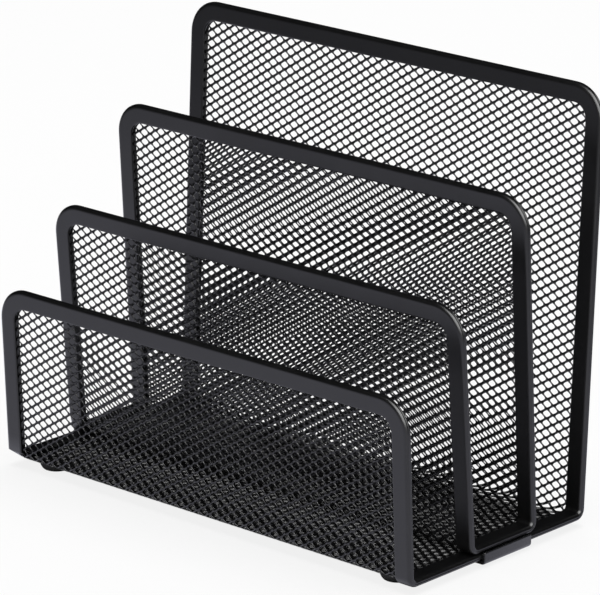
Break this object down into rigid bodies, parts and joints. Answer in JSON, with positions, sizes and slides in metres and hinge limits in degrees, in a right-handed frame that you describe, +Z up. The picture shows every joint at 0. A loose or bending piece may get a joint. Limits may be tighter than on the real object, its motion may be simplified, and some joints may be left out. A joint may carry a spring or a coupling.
{
  "type": "mesh letter holder",
  "caption": "Desk letter rack of black expanded-metal mesh with stepped upright panels, rounded folded rims, open ends and round feet, holding mail in upright slots.",
  "frame": {"origin": "on the desk under the middle of the rack's outline", "axes": "+X along the panels to the right seen from the front, +Y from the low front panel to the tall back panel, +Z up"},
  "size_m": [0.1724, 0.0908, 0.1378],
  "materials": {
    "rim_paint": "satin black paint",
    "mesh_paint": "satin black paint on expanded metal",
    "clip_paint": "satin black paint",
    "foot_rubber": "matt black"
  },
  "bodies": {
    "root": {"outer_rim": "rim_paint", "inner_rim": "rim_paint", "outer_mesh_front": "mesh_paint", "outer_mesh_base": "mesh_paint", "outer_mesh_back": "mesh_paint", "inner_mesh_front": "mesh_paint", "inner_mesh_base": "mesh_paint", "inner_mesh_back": "mesh_paint", "clip_right": "clip_paint", "clip_left": "clip_paint", "foot_front_left": "foot_rubber", "foot_front_right": "foot_rubber", "foot_back_left": "foot_rubber", "foot_back_right": "foot_rubber"}
  },
  "joints": []
}
